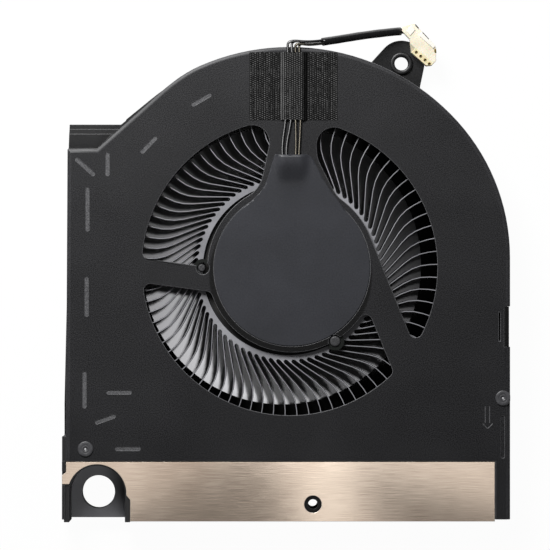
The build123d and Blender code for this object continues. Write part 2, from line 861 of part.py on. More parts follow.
# Circuit board under the motor seat, with a tongue below the wire window and a lug at each pin
tongue_overlap = 1.1
tongue_side = 0.4
lug_width = 0.7
chip_length = 3.4
chip_width = 3.0
chip_setback = 1.2
chip_y = (hub_ring_radius + stator_radius - shoe_depth) / 2 - chip_setback
small_part_length = 1.0
small_part_width = 0.5
small_part_height = 0.45
small_part_places = ((4.6, 8.0), (-4.6, 8.0), (6.4, 6.0))
with BuildPart() as circuit_board:
    with BuildSketch(level(board_bottom)):
        Circle(board_radius)
        with Locations((ring_x, wire_window_y + wire_window_radius - tongue_overlap - wire_window_y / 2)):
            Rectangle(2 * (wire_window_radius + tongue_side), wire_window_y)
        for angle in pin_angles:
            with Locations(polar(pin_circle, angle)):
                Circle(pin_radius + lug_width)
        Circle(tube_radius, mode=Mode.SUBTRACT)
        for angle in pin_angles:
            with Locations(polar(pin_circle, angle)):
                Circle(pin_radius, mode=Mode.SUBTRACT)
    extrude(amount=board_thickness)
circuit_board.part.label = "circuit_board"
export_step(circuit_board.part, "parts/circuit_board.step")

with BuildPart() as driver_chip:
    with BuildSketch(level(board_bottom - chip_height)):
        with Locations((0, chip_y)):
            Rectangle(chip_length, chip_width)
    extrude(amount=chip_height)
driver_chip.part.label = "driver_chip"
export_step(driver_chip.part, "parts/driver_chip.step")

with BuildPart() as board_parts:
    with BuildSketch(level(board_bottom - small_part_height)):
        with Locations(*small_part_places):
            Rectangle(small_part_length, small_part_width)
    extrude(amount=small_part_height)
board_parts.part.label = "board_parts"
export_step(board_parts.part, "parts/board_parts.step")

# Locating pins that hold the board to the motor seat
pin_rise = 0.35
with BuildPart() as locating_pins:
    with BuildSketch(level(board_bottom)):
        for angle in pin_angles:
            with Locations(polar(pin_circle, angle)):
                Circle(pin_radius)
    extrude(amount=board_thickness + pin_rise)
locating_pins.part.label = "locating_pins"
export_step(locating_pins.part, "parts/locating_pins.step")

# Hub label: thin disc in its recess, with a neck raised over the wire ends
neck_left = -3.1
neck_right = 5.2
neck_slope = 0.8
neck_overlap = 0.3
neck_outline = (
    (-9.2, 11.5),
    (-8.9, 13.3),
    (-7.24, 14.74),
    (-5.94, 16.04),
    (-4.9, 17.6),
    (-4.25, 19.4),
    (-3.33, 22.4),
    (-2.81, label_neck_end),
    (3.96, label_neck_end),
    (5.26, 22.8),
    (6.04, 21.1),
    (8.65, 16.56),
    (11.9, 12.2),
    (11.0, 10.5),
)
neck_clearance = 0.02
neck_height = wire_diameter + wire_lift + neck_clearance
with BuildPart() as label_neck:
    with BuildSketch(Plane(origin=(rotor_x, rotor_y + label_neck_end, 0), x_dir=(1, 0, 0), z_dir=(0, -1, 0))):
        with BuildLine():
            under = [
                (-label_radius, fan_height),
                (neck_left, fan_height),
                (neck_left + neck_slope, fan_height + neck_height),
                (neck_right - neck_slope, fan_height + neck_height),
                (neck_right, fan_height),
                (label_radius, fan_height),
            ]
            over = [(x, height + label_thickness) for x, height in reversed(under)]
            Polyline(*under, *over, close=True)
        make_face()
    extrude(amount=label_neck_end)
    with BuildSketch(level(fan_height)):
        with BuildLine():
            Polyline(*neck_outline, close=True)
        make_face()
        with Locations((ring_x, ring_y)):
            Circle(label_radius - neck_overlap, mode=Mode.SUBTRACT)
    extrude(amount=fan_height, mode=Mode.INTERSECT)
with BuildPart() as hub_label:
    with BuildSketch(level(fan_height - label_recess)):
        with Locations((ring_x, ring_y)):
            Circle(label_radius)
    extrude(amount=label_thickness)
    add(label_neck.part)
hub_label.part.label = "hub_label"
export_step(hub_label.part, "parts/hub_label.step")

# Wires: straight runs joined by arcs as large as the runs allow, tight only where they turn off the cover.
# Their round sections have a few flats, which keeps the faces few.
wire_level = fan_height + wire_lift + wire_diameter / 2
soldered = wall_top + wire_diameter / 2
edge_bend_radius = 1.2
gather = (4.6, 47.0, 12.0)
loom_points = ((11.0, 48.15, 9.75), (18.2, 49.45, 6.6), (25.0, 50.2, 4.5))
loom_offset = 0.3
loom_stack_gap = 0.01
bend_share = 0.45
wire_flats = 6
sleeve_flats = 16
wire_starts = (
    (
        (-0.6, 17.9, soldered),
        (-0.6, 20.4, soldered),
        (-1.05, 22.0),
        (-1.42, 25.5),
        (-0.56, 31.15),
        (-0.42, 36.2),
        (-0.28, 40.2),
        (-0.22, 43.2),
        (-0.15, 45.7),
        (-0.12, 47.8, 12.58),
    ),
    (
        (0.15, 17.9, soldered),
        (0.15, 20.4, soldered),
        (-0.3, 22.0),
        (-0.56, 25.5),
        (0.62, 31.15),
        (0.7, 36.2),
        (0.74, 40.2),
        (0.73, 43.2),
        (0.71, 45.7),
        (0.69, 47.8, 11.93),
    ),
    (
        (1.3, 17.9, soldered),
        (1.3, 20.4, soldered),
        (1.4, 22.0),
        (1.6, 25.5),
        (1.5, 31.15),
        (1.45, 36.2),
        (1.42, 40.2),
        (1.43, 43.2),
        (1.46, 45.7),
        (1.48, 47.15, 12.58),
    ),
    (
        (2.0, 17.9, soldered),
        (2.0, 20.4, soldered),
        (2.12, 22.0),
        (2.25, 25.5),
        (2.56, 31.15),
        (2.46, 36.2),
        (2.36, 40.2),
        (2.31, 43.2),
        (2.25, 45.7),
        (2.23, 47.15, 11.93),
    ),
)
loom_places = ((1, 1), (1, -1), (-1, 1), (-1, -1))


def placed(point):
    # A route point in the part's own frame; a point with no height lies on the cover.
    height = point[2] if len(point) > 2 else wire_level
    return Vector(rotor_x + point[0], rotor_y + point[1], height)


def bend_radii(route, tight_index=None):
    radii = []
    for index in range(1, len(route) - 1):
        before = route[index] - route[index - 1]
        after = route[index + 1] - route[index]
        half_turn = radians(before.get_angle(after)) / 2
        radius = bend_share * min(before.length, after.length) / tan(half_turn)
        radii.append(min(radius, edge_bend_radius) if index == tight_index else radius)
    return radii


def run_length(route, radii):
    # Length of the route along its straight runs and arcs.
    total = sum((b - a).length for a, b in zip(route, route[1:]))
    for index, radius in enumerate(radii, start=1):
        turn = radians((route[index] - route[index - 1]).get_angle(route[index + 1] - route[index]))
        total += radius * turn - 2 * radius * tan(turn / 2)
    return total


def section(route):
    return Plane(origin=route[0], z_dir=route[1] - route[0])


for number, (start_points, place) in enumerate(zip(wire_starts, loom_places), start=1):
    # In the sleeve the four wires lie two by two
    shift = Vector(0, place[0] * loom_offset, place[1] * (loom_offset + loom_stack_gap))
    route = [placed(point) for point in start_points]
    route += [placed(point) + shift for point in (gather, *loom_points)]
    radii = bend_radii(route, tight_index=len(start_points) - 1)
    with BuildPart() as wire:
        with BuildLine():
            FilletPolyline(*route, radius=radii)
        with BuildSketch(section(route)) as round_section:
            RegularPolygon(wire_diameter / 2, wire_flats)
        sweep()
    length = run_length(route, radii)
    expected = round_section.sketch.area * length
    print("wire", number, "length", round(length, 2), "volume", round(wire.part.volume / expected, 4))
    print("  radii", [round(radius, 2) for radius in radii])
    wire.part.label = f"wire_{number}"
    export_step(wire.part, f"parts/wire_{number}.step")

# Sleeve round the loose end of the wires, on the same arcs
sleeve_start_gap = 2.65
sleeve_end_gap = 1.5
loom = [placed(point) for point in (gather, *loom_points)]
loom_radii = bend_radii(loom)
sleeve_start = loom[0] + (loom[1] - loom[0]).normalized() * sleeve_start_gap
sleeve_end = loom[3] - (loom[3] - loom[2]).normalized() * sleeve_end_gap
sleeve_route = [sleeve_start, loom[1], loom[2], sleeve_end]
with BuildPart() as wire_sleeve:
    with BuildLine():
        FilletPolyline(*sleeve_route, radius=loom_radii)
    with BuildSketch(section(sleeve_route)) as ring_section:
        RegularPolygon(sleeve_bore_radius + sleeve_wall, sleeve_flats)
        RegularPolygon(sleeve_bore_radius, sleeve_flats, mode=Mode.SUBTRACT)
    sweep()
length = run_length(sleeve_route, loom_radii)
expected = ring_section.sketch.area * length
print("sleeve length", round(length, 2), "volume", round(wire_sleeve.part.volume / expected, 4))
print("  radii", [round(radius, 2) for radius in loom_radii])
wire_sleeve.part.label = "wire_sleeve"
export_step(wire_sleeve.part, "parts/wire_sleeve.step")

# Cloth tape over the wires, lying on the cover with a ridge over them
ridge_left = -0.75
ridge_right = 3.0
ridge_foot = 1.0
ridge_lean = 0.1
ridge_clearance = 0.03
ridge_height = wire_lift + wire_diameter + ridge_clearance
with BuildPart() as cloth_tape:
    with BuildSketch(Plane(origin=(rotor_x, rotor_y + tape_back, 0), x_dir=(1, 0, 0), z_dir=(0, -1, 0))):
        with BuildLine():
            under = [
                (tape_left, fan_height),
                (ridge_left - ridge_foot, fan_height),
                (ridge_left - ridge_lean, fan_height + ridge_height),
                (ridge_right, fan_height + ridge_height),
                (ridge_right + ridge_foot, fan_height),
                (tape_right, fan_height),
            ]
            over = [(x, height + tape_thickness) for x, height in reversed(under)]
            Polyline(*under, *over, close=True)
        make_face()
    extrude(amount=tape_back - tape_front)
cloth_tape.part.label = "cloth_tape"
export_step(cloth_tape.part, "parts/cloth_tape.step")

# Plug: housing that lies on the ear, with a row of windows in its bevelled front edge
ear_top = grommet_flange + ear_thickness
plug_turn = -41.5
plug_place = (1.97, 2.15)
plug_frame = Plane(
    origin=(rotor_x + ear_x + plug_place[0], rotor_y + ear_y + plug_place[1], ear_top),
    x_dir=(cos(radians(plug_turn)), sin(radians(plug_turn)), 0),
    z_dir=(0, 0, 1),
)
front_bevel = 1.3
window_width = 0.8
window_depth = 1.1
row_middle = 2.35
plug_outline = (
    (0, 0),
    (4.2, 0),
    (5.0, 0.85),
    (5.05, 2.15),
    (3.2, 4.25),
    (-3.55, 5.05),
    (-4.05, 4.45),
    (-5.05, 2.8),
    (-4.45, 2.1),
    (-2.15, 1.95),
)
with BuildPart() as connector_housing:
    with BuildSketch(plug_frame):
        with BuildLine():
            Polyline(*plug_outline, close=True)
        make_face()
    extrude(amount=housing_height)
    front_edge_top = (
        connector_housing.edges()
        .group_by(Axis.Z)[-1]
        .sort_by_distance(plug_frame.from_local_coords((plug_outline[1][0] / 2, 0, housing_height)))[0]
    )
    chamfer(front_edge_top, front_bevel)
    bevel_frame = Plane(
        origin=plug_frame.from_local_coords((row_middle, front_bevel / 2, housing_height - front_bevel / 2)),
        x_dir=plug_frame.x_dir,
        z_dir=plug_frame.z_dir - plug_frame.y_dir,
    )
    with BuildSketch(bevel_frame):
        with GridLocations(contact_pitch, 1, contact_count, 1):
            Rectangle(window_width, window_width)
    extrude(amount=-window_depth, mode=Mode.SUBTRACT)
connector_housing.part.label = "connector_housing"
export_step(connector_housing.part, "parts/connector_housing.step")

# Contacts at the bottom of the windows
contact_gap = 0.1
contact_thickness = 0.5
with BuildPart() as connector_contacts:
    with BuildSketch(bevel_frame.offset(-window_depth)):
        with GridLocations(contact_pitch, 1, contact_count, 1):
            Rectangle(window_width - contact_gap, window_width - contact_gap)
    extrude(amount=contact_thickness)
connector_contacts.part.label = "connector_contacts"
export_step(connector_contacts.part, "parts/connector_contacts.step")
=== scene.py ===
import math

import bmesh
import bpy
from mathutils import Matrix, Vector, geometry, noise


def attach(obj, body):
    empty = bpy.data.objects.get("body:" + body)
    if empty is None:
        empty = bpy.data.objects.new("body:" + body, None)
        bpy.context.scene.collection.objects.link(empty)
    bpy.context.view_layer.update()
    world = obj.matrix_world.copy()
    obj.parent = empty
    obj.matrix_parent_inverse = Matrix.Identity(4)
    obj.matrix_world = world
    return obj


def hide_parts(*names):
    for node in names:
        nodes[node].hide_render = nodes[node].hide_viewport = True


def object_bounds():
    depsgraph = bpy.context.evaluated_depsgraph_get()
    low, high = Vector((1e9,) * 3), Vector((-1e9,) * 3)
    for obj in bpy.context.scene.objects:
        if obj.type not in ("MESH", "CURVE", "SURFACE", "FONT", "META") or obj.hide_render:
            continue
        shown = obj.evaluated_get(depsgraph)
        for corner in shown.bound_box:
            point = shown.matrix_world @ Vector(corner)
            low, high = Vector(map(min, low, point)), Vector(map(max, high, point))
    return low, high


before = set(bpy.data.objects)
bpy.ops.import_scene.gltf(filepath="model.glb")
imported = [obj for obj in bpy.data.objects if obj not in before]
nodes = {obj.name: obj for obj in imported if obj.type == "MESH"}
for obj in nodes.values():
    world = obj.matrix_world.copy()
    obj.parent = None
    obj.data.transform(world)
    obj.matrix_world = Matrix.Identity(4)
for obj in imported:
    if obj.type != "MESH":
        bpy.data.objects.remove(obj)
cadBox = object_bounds()
scene = bpy.context.scene

# Places in this script are in mm, most of them from the rotor's axis
rotorX = 39.9
rotorY = 46.7
coverTop = 12.0


def at(x, y, z=coverTop):
    return Vector((rotorX + x, rotorY + y, z)) / 1000


def tone(red, green, blue):
    # A colour as it looks on a screen, turned into the linear value that a shader takes
    def channel(value):
        value /= 255
        return value / 12.92 if value <= 0.04045 else ((value + 0.055) / 1.055) ** 2.4

    return (channel(red), channel(green), channel(blue), 1)


# Camera: straight above the middle of the photo
camera = {"distance": 0.9, "x": 37.1, "y": 45.55, "width": 114.58}
cameraData = bpy.data.cameras.new("camera")
cameraData.lens = cameraData.sensor_width * camera["distance"] * 1000 / camera["width"]
cameraData.clip_end = 10
cameraObject = bpy.data.objects.new("camera", cameraData)
cameraObject.location = (camera["x"] / 1000, camera["y"] / 1000, coverTop / 1000 + camera["distance"])
scene.collection.objects.link(cameraObject)
scene.camera = cameraObject
scene.view_settings.view_transform = "Standard"
print("camera set")


# Materials
def addNode(tree, kind, values=None, **settings):
    node = tree.nodes.new(kind)
    for key, value in settings.items():
        setattr(node, key, value)
    for key, value in (values or {}).items():
        node.inputs[key].default_value = value
    return node


def grainNode(tree, source, size, detail=3, roughness=0.55):
    node = addNode(
        tree,
        "ShaderNodeTexNoise",
        {"Scale": 1000 / size, "Detail": detail, "Roughness": roughness},
    )
    tree.links.new(source, node.inputs["Vector"])
    return node.outputs["Fac"]


def surface(name, look):
    # Tone drifts in patches and with the grain, and the grain also moves gloss and height
    material = bpy.data.materials.new(name)
    material.use_nodes = True
    tree = material.node_tree
    shader = tree.nodes["Principled BSDF"]
    place = addNode(tree, "ShaderNodeTexCoord")
    stretch = addNode(tree, "ShaderNodeMapping", {"Scale": look.get("stretch", (1, 1, 1))})
    tree.links.new(place.outputs["Object"], stretch.inputs["Vector"])
    where = stretch.outputs["Vector"]
    patches = grainNode(tree, place.outputs["Object"], look["patch"])
    grain = grainNode(tree, where, look["grain"], look.get("detail", 3))
    both = addNode(tree, "ShaderNodeMix", {"Factor": look.get("speckle", 0.35)})
    tree.links.new(patches, both.inputs["A"])
    tree.links.new(grain, both.inputs["B"])
    ramp = addNode(tree, "ShaderNodeValToRGB")
    ramp.color_ramp.elements[0].position = look.get("low", 0.32)
    ramp.color_ramp.elements[1].position = look.get("high", 0.68)
    ramp.color_ramp.elements[0].color = tone(*look["dark"])
    ramp.color_ramp.elements[1].color = tone(*look["light"])
    tree.links.new(both.outputs["Result"], ramp.inputs["Fac"])
    tree.links.new(ramp.outputs["Color"], shader.inputs["Base Color"])
    gloss = addNode(
        tree,
        "ShaderNodeMapRange",
        {"From Min": 0.3, "From Max": 0.7, "To Min": look["rough"][0], "To Max": look["rough"][1]},
    )
    tree.links.new(grain, gloss.inputs["Value"])
    tree.links.new(gloss.outputs["Result"], shader.inputs["Roughness"])
    bump = addNode(tree, "ShaderNodeBump", {"Distance": look["depth"] / 1000, "Strength": 1.0})
    tree.links.new(grain, bump.inputs["Height"])
    tree.links.new(bump.outputs["Normal"], shader.inputs["Normal"])
    for socket, value in look.get("sockets", {}).items():
        shader.inputs[socket].default_value = value
    return material


def shadeDisc(material, spot):
    # Painted shade: darkens the colour inside a circle that is seen from above, with a soft rim
    tree = material.node_tree
    shader = tree.nodes["Principled BSDF"]
    scale = 1000 / spot["radius"]
    middle = at(spot["x"], spot["y"]) * -scale
    middle.z = 0
    coordinates = addNode(tree, "ShaderNodeTexCoord")
    place = addNode(tree, "ShaderNodeMapping", {"Location": middle, "Scale": (scale, scale, 0)})
    ball = addNode(tree, "ShaderNodeTexGradient", gradient_type="SPHERICAL")
    soft = addNode(
        tree,
        "ShaderNodeMapRange",
        {"From Max": spot["fade"], "To Min": 1.0, "To Max": spot["shade"]},
    )
    soft.interpolation_type = "SMOOTHSTEP"
    darker = addNode(tree, "ShaderNodeVectorMath", operation="SCALE")
    tree.links.new(coordinates.outputs["Object"], place.inputs["Vector"])
    tree.links.new(place.outputs["Vector"], ball.inputs["Vector"])
    tree.links.new(ball.outputs["Fac"], soft.inputs["Value"])
    tree.links.new(soft.outputs["Result"], darker.inputs["Scale"])
    tree.links.new(shader.inputs["Base Color"].links[0].from_socket, darker.inputs[0])
    tree.links.new(darker.outputs["Vector"], shader.inputs["Base Color"])


# Pieces
def show(name, data, materials, body, stands=()):
    piece = bpy.data.objects.new(name, data)
    scene.collection.objects.link(piece)
    for material in materials:
        data.materials.append(material)
    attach(piece, body)
    if stands:
        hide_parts(*stands)
    return piece


rounding = {
    "sharp": 30,  # degrees between two faces from which their edge is rounded
    "aside": 30,  # degrees from which a neighbour edge counts as standing across
    "share": 0.4,  # of a short neighbour edge that a rounding may take
    "weld": 0.002,
    "flat": 0.5,  # degrees up to which two faces are merged
}


def roundingShare(edge, width):
    # Short edges beside this one leave less room for its rounding
    room = width / rounding["share"]
    aside = rounding["aside"]
    for vertex in edge.verts:
        along = edge.other_vert(vertex).co - vertex.co
        for other in vertex.link_edges:
            if other is edge:
                continue
            direction = other.other_vert(vertex).co - vertex.co
            if math.radians(aside) < along.angle(direction, 0) < math.radians(180 - aside):
                room = min(room, direction.length)
    return min(1, rounding["share"] * room / width)


def evenNormals(piece):
    # Large flat faces keep their own shading beside the rounded edges
    flats = piece.modifiers.new("flats", "WEIGHTED_NORMAL")
    flats.weight = 100


def softCopy(node, materials, width, segments=2, body="housing", top=None, pick=None):
    # A copy of the solid with merged faces and rounded edges; the second material is for the edges
    mesh = nodes[node].data.copy()
    mesh.materials.clear()
    build = bmesh.new()
    build.from_mesh(mesh)
    bmesh.ops.remove_doubles(build, verts=build.verts, dist=rounding["weld"] / 1000)
    flat = math.radians(rounding["flat"])
    bmesh.ops.dissolve_limit(build, angle_limit=flat, verts=build.verts, edges=build.edges)
    if top:
        # What stands above this height is made as a piece of its own
        high = [face for face in build.faces if face.calc_center_median().z > top / 1000]
        bmesh.ops.delete(build, geom=high, context="FACES")
    for face in build.faces:
        face.smooth = True
        face.material_index = 0
        if pick:
            face.material_index = pick(face)
    weights = build.edges.layers.float.new("bevel_weight_edge")
    for edge in build.edges:
        if len(edge.link_faces) == 2 and edge.calc_face_angle(0) > math.radians(rounding["sharp"]):
            edge[weights] = roundingShare(edge, width / 1000)
    build.to_mesh(mesh)
    build.free()
    piece = show(node + "_soft", mesh, materials, body, [node])
    bevel = piece.modifiers.new("edges", "BEVEL")
    bevel.limit_method = "WEIGHT"
    bevel.width = width / 1000
    bevel.segments = segments
    bevel.use_clamp_overlap = False
    if len(materials) > 1:
        bevel.material = 1
    evenNormals(piece)
    return piece


def meshOf(name, points, faces, smooth=True):
    mesh = bpy.data.meshes.new(name)
    mesh.from_pydata([tuple(point) for point in points], [], faces)
    mesh.validate()
    if smooth:
        mesh.shade_smooth()
    return mesh


# Wires: one smooth line each, on the route that their solids follow
wire = {
    "radius": 0.275,
    "dark": (7, 7, 8),
    "light": (16, 16, 17),
    "patch": 2.0,
    "grain": 0.12,
    "depth": 0.004,
    "rough": (0.2, 0.34),
    "sockets": {"Coat Weight": 0.12, "Coat Roughness": 0.2, "Specular IOR Level": 0.6},
}
warmTints = {"Specular Tint": tone(255, 244, 218), "Coat Tint": tone(255, 248, 232)}
wireWarm = dict(wire, sockets=dict(wire["sockets"], **warmTints))
wireStarts = (
    (
        (-0.6, 17.9, 11.775),
        (-0.6, 20.4, 11.775),
        (-1.05, 22.0, 12.325),
        (-1.42, 25.5, 12.325),
        (-0.56, 31.15, 12.325),
        (-0.42, 36.2, 12.325),
        (-0.28, 40.2, 12.325),
        (-0.22, 43.2, 12.325),
        (-0.15, 45.7, 12.325),
        (-0.12, 47.8, 12.58),
    ),
    (
        (0.15, 17.9, 11.775),
        (0.15, 20.4, 11.775),
        (-0.3, 22.0, 12.325),
        (-0.56, 25.5, 12.325),
        (0.62, 31.15, 12.325),
        (0.7, 36.2, 12.325),
        (0.74, 40.2, 12.325),
        (0.73, 43.2, 12.325),
        (0.71, 45.7, 12.325),
        (0.69, 47.8, 11.93),
    ),
    (
        (1.3, 17.9, 11.775),
        (1.3, 20.4, 11.775),
        (1.4, 22.0, 12.325),
        (1.6, 25.5, 12.325),
        (1.5, 31.15, 12.325),
        (1.45, 36.2, 12.325),
        (1.42, 40.2, 12.325),
        (1.43, 43.2, 12.325),
        (1.46, 45.7, 12.325),
        (1.48, 47.15, 12.58),
    ),
    (
        (2.0, 17.9, 11.775),
        (2.0, 20.4, 11.775),
        (2.12, 22.0, 12.325),
        (2.25, 25.5, 12.325),
        (2.56, 31.15, 12.325),
        (2.46, 36.2, 12.325),
        (2.36, 40.2, 12.325),
        (2.31, 43.2, 12.325),
        (2.25, 45.7, 12.325),
        (2.23, 47.15, 11.93),
    ),
)
loomPoints = ((4.6, 47.0, 12.0), (11.0, 48.15, 9.75), (18.2, 49.45, 6.6), (25.0, 50.2, 4.5))
loomShifts = ((0.3, 0.31), (0.3, -0.31), (-0.3, 0.31), (-0.3, -0.31))


def lineCurve(name, points, radius=0.0):
    curve = bpy.data.curves.new(name, "CURVE")
    curve.dimensions = "3D"
    spline = curve.splines.new("NURBS")
    spline.points.add(len(points) - 1)
    for controlPoint, point in zip(spline.points, points):
        controlPoint.co = (point[0], point[1], point[2], 1)
    spline.order_u = 3
    spline.use_endpoint_u = True
    spline.resolution_u = 14
    curve.bevel_depth = radius / 1000
    curve.bevel_resolution = 6
    curve.use_fill_caps = True
    return curve


def readLine(curve):
    holder = bpy.data.objects.new("line_reader", curve)
    scene.collection.objects.link(holder)
    bpy.context.view_layer.update()
    mesh = bpy.data.meshes.new_from_object(holder)
    points = [vertex.co.copy() for vertex in mesh.vertices]
    bpy.data.objects.remove(holder)
    bpy.data.meshes.remove(mesh)
    return points


wireMaterials = [surface("wire_plastic", wire), surface("wire_plastic_warm", wireWarm)]
wirePieces = []
for number, (starts, shift) in enumerate(zip(wireStarts, loomShifts), start=1):
    points = [at(*point) for point in starts]
    points += [at(x, y + shift[0], z + shift[1]) for x, y, z in loomPoints]
    curve = lineCurve(f"wire_{number}_line", points, wire["radius"])
    material = wireMaterials[0 if number < 3 else 1]  # the last two shine a little warm
    piece = show(f"wire_{number}_cord", curve, [material], "housing", [f"wire_{number}"])
    wirePieces.append((piece, points))

# Sleeve: a shrunk tube that shows the wires in it a little, with a lip at each end
sleeve = {
    "start": 2.65,
    "end": 1.5,
    "radius": 0.82,
    "bore": 0.7,
    "lip": 0.03,
    "swell": 0.035,
    "sides": 28,
    "dark": (10, 10, 11),
    "light": (20, 20, 21),
    "patch": 3.0,
    "grain": 0.2,
    "depth": 0.01,
    "rough": (0.22, 0.38),
    "sockets": {"Coat Weight": 0.25, "Coat Roughness": 0.15},
}


def sleeveMesh():
    loom = [at(*point) for point in loomPoints]
    loom[0] += (loom[1] - loom[0]).normalized() * sleeve["start"] / 1000
    loom[-1] -= (loom[-1] - loom[-2]).normalized() * sleeve["end"] / 1000
    line = readLine(lineCurve("sleeve_line", loom))
    count = len(line)
    points = []
    faces = []
    sides = sleeve["sides"]
    # Rings: the bore at one end, the outside, and the bore at the other end
    lipRadius = sleeve["radius"] - sleeve["lip"]
    order = [(1, sleeve["bore"]), (0, sleeve["bore"]), (0, lipRadius)]
    order += [(index, sleeve["radius"]) for index in range(count)]
    order += [(count - 1, lipRadius), (count - 1, sleeve["bore"]), (count - 2, sleeve["bore"])]
    for index, radius in order:
        before = line[max(index - 1, 0)]
        after = line[min(index + 1, count - 1)]
        along = (after - before).normalized()
        across = Vector((0, 0, 1)).cross(along).normalized()
        upward = along.cross(across)
        for side in range(sides):
            turn = 2 * math.pi * side / sides
            uneven = noise.noise(Vector((0.18 * index, turn, 3.1)))
            swell = sleeve["swell"] * (math.cos(4 * turn + 0.7) + uneven)
            reach = (radius + (swell if radius >= sleeve["radius"] else 0)) / 1000
            points.append(line[index] + (across * math.cos(turn) + upward * math.sin(turn)) * reach)
    rings = len(order)
    for ring in range(rings - 1):
        for side in range(sides):
            following = (side + 1) % sides
            faces.append(
                (
                    ring * sides + side,
                    ring * sides + following,
                    (ring + 1) * sides + following,
                    (ring + 1) * sides + side,
                )
            )
    return meshOf("sleeve_mesh", points, faces)


sleevePiece = show(
    "wire_sleeve_tube",
    sleeveMesh(),
    [surface("sleeve_plastic", sleeve)],
    "housing",
    ["wire_sleeve"],
)
print("wires and sleeve made")

# Cover: painted sheet; its rounded edges take a lighter colour for a little wear and a painted highlight
cover = {
    "edge": 0.11,
    "dark": (10, 10, 12),
    "light": (46, 46, 48),
    "patch": 14.0,
    "grain": 0.2,
    "speckle": 0.85,
    "low": 0.36,
    "high": 0.64,
    "depth": 0.035,
    "rough": (0.36, 0.5),
    "sockets": {"Specular IOR Level": 0.3},
}
coverSlopeLit = dict(cover, dark=(30, 30, 32), light=(56, 56, 58), depth=0.008)
coverEdgeWearAndSheen = dict(cover, dark=(60, 60, 62), light=(104, 104, 106), rough=(0.3, 0.42), depth=0.008)


groove = {"depth": 0.12, "within": 0.02, "right": 44}
ringPaintedShade = {"x": 0.45, "y": -1.3, "radius": 17.2, "fade": 0.03, "shade": 0.12}


def coverZone(face):
    # The floors of the short grooves take the lightest colour; the slope along the edge takes a lighter
    # copy of the paint as painted light
    middle = face.calc_center_median() * 1000
    onFloor = abs(middle.z - coverTop + groove["depth"]) < groove["within"]
    if onFloor and middle.x - rotorX < groove["right"]:
        return 1
    return 2 if 0.4 < face.normal.z < 0.995 else 0


# Painted shade: the cover's colour is darkened in a disc, so that the ring round the label looks shaded on
# its lower side
coverMaterial = surface("cover_paint", cover)
shadeDisc(coverMaterial, ringPaintedShade)
softCopy(
    "top_cover",
    [coverMaterial, surface("cover_edge_wear_and_sheen_paint", coverEdgeWearAndSheen), surface("cover_slope_lit_paint", coverSlopeLit)],
    cover["edge"],
    pick=coverZone,
)

# Case: black moulded plastic with a fine sparkle of glass fibre
case = {
    "edge": 0.1,
    "dark": (12, 12, 13),
    "light": (22, 22, 23),
    "patch": 9.0,
    "grain": 0.16,
    "speckle": 0.45,
    "depth": 0.012,
    "rough": (0.34, 0.52),
    "sockets": {"Specular IOR Level": 0.3},
}


well = {"top": 5, "right": -32, "back": -38}
post = {"x": 5.04, "y": -48.75, "radius": 2.4}


def caseZone(face):
    # The floor round the corner hole takes a lighter grey as painted light; the post's top takes a
    # near-black copy as painted shade
    middle = face.calc_center_median() * 1000
    x = middle.x - rotorX
    y = middle.y - rotorY
    if face.normal.z > 0.9 and middle.z < well["top"] and x < well["right"] and y < well["back"]:
        return 2
    return 3 if math.hypot(x - post["x"], y - post["y"]) < post["radius"] else 0


# The rounded edges take a lighter copy of the plastic as painted highlight
caseEdgeSheen = dict(case, dark=(24, 24, 25), light=(40, 40, 41))
caseFloorLit = dict(case, dark=(66, 66, 69), light=(84, 84, 87))
casePostShade = dict(case, dark=(3, 3, 3), light=(7, 7, 7), sockets={"Specular IOR Level": 0.1})
casePiece = softCopy(
    "lower_case",
    [
        surface("case_plastic", case),
        surface("case_edge_sheen_plastic", caseEdgeSheen),
        surface("case_floor_lit_plastic", caseFloorLit),
        surface("case_post_shade_plastic", casePostShade),
    ],
    case["edge"],
    top=12.02,
    pick=caseZone,
)

# Outlet plate: drawn metal with lines along the outlet
plate = {
    "edge": 0.07,
    "dark": (168, 150, 134),
    "light": (214, 197, 180),
    "patch": 30.0,
    "grain": 0.075,
    "detail": 4,
    "stretch": (0.014, 1, 0.05),
    "speckle": 0.5,
    "low": 0.38,
    "high": 0.62,
    "depth": 0.0006,
    "rough": (0.08, 0.11),
    "sockets": {"Metallic": 1.0},
}
# The rounded edges take a lighter, rougher copy of the metal as painted highlight
plateEdgeSheen = dict(plate, dark=(225, 212, 196), light=(245, 236, 224), rough=(0.4, 0.5), depth=0.0001)
platePiece = softCopy(
    "outlet_plate",
    [surface("plate_metal", plate), surface("plate_edge_sheen_metal", plateEdgeSheen)],
    plate["edge"],
)

# Impeller: light tops; walls and rounded edges take a dark copy of the plastic as painted shade
impeller = {
    "edge": 0.05,
    "dark": (122, 122, 126),
    "light": (158, 158, 163),
    "patch": 6.0,
    "grain": 0.14,
    "depth": 0.006,
    "rough": (0.26, 0.4),
}
impellerWallShade = dict(impeller, dark=(26, 26, 28), light=(40, 40, 42))


def isWall(face):
    return 1 if face.normal.z < 0.9 else 0


softCopy(
    "impeller",
    [surface("blade_plastic", impeller), surface("blade_wall_shade_plastic", impellerWallShade)],
    impeller["edge"],
    1,
    "rotor",
    pick=isWall,
)
print("solids rounded")


def lathe(name, profile, x, y, segments=48, rough=0.0):
    # A round piece from pairs of radius and height; a first radius of zero closes it on its axis
    closed = profile[0][0] == 0
    points = [at(x, y, profile[0][1])] if closed else []
    rings = profile[1:] if closed else profile
    first = len(points)
    faces = []
    for ring, (radius, height) in enumerate(rings):
        for side in range(segments):
            turn = 2 * math.pi * side / segments
            across = radius * math.cos(turn)
            away = radius * math.sin(turn)
            lift = rough * noise.noise(Vector((across * 2.2, away * 2.2, ring)))
            points.append(at(x + across, y + away, height + lift))
    for side in range(segments):
        following = (side + 1) % segments
        if closed:
            faces.append((0, 1 + side, 1 + following))
        for ring in range(len(rings) - 1):
            start = first + ring * segments
            faces.append(
                (start + side, start + segments + side, start + segments + following, start + following)
            )
    return meshOf(name, points, faces)


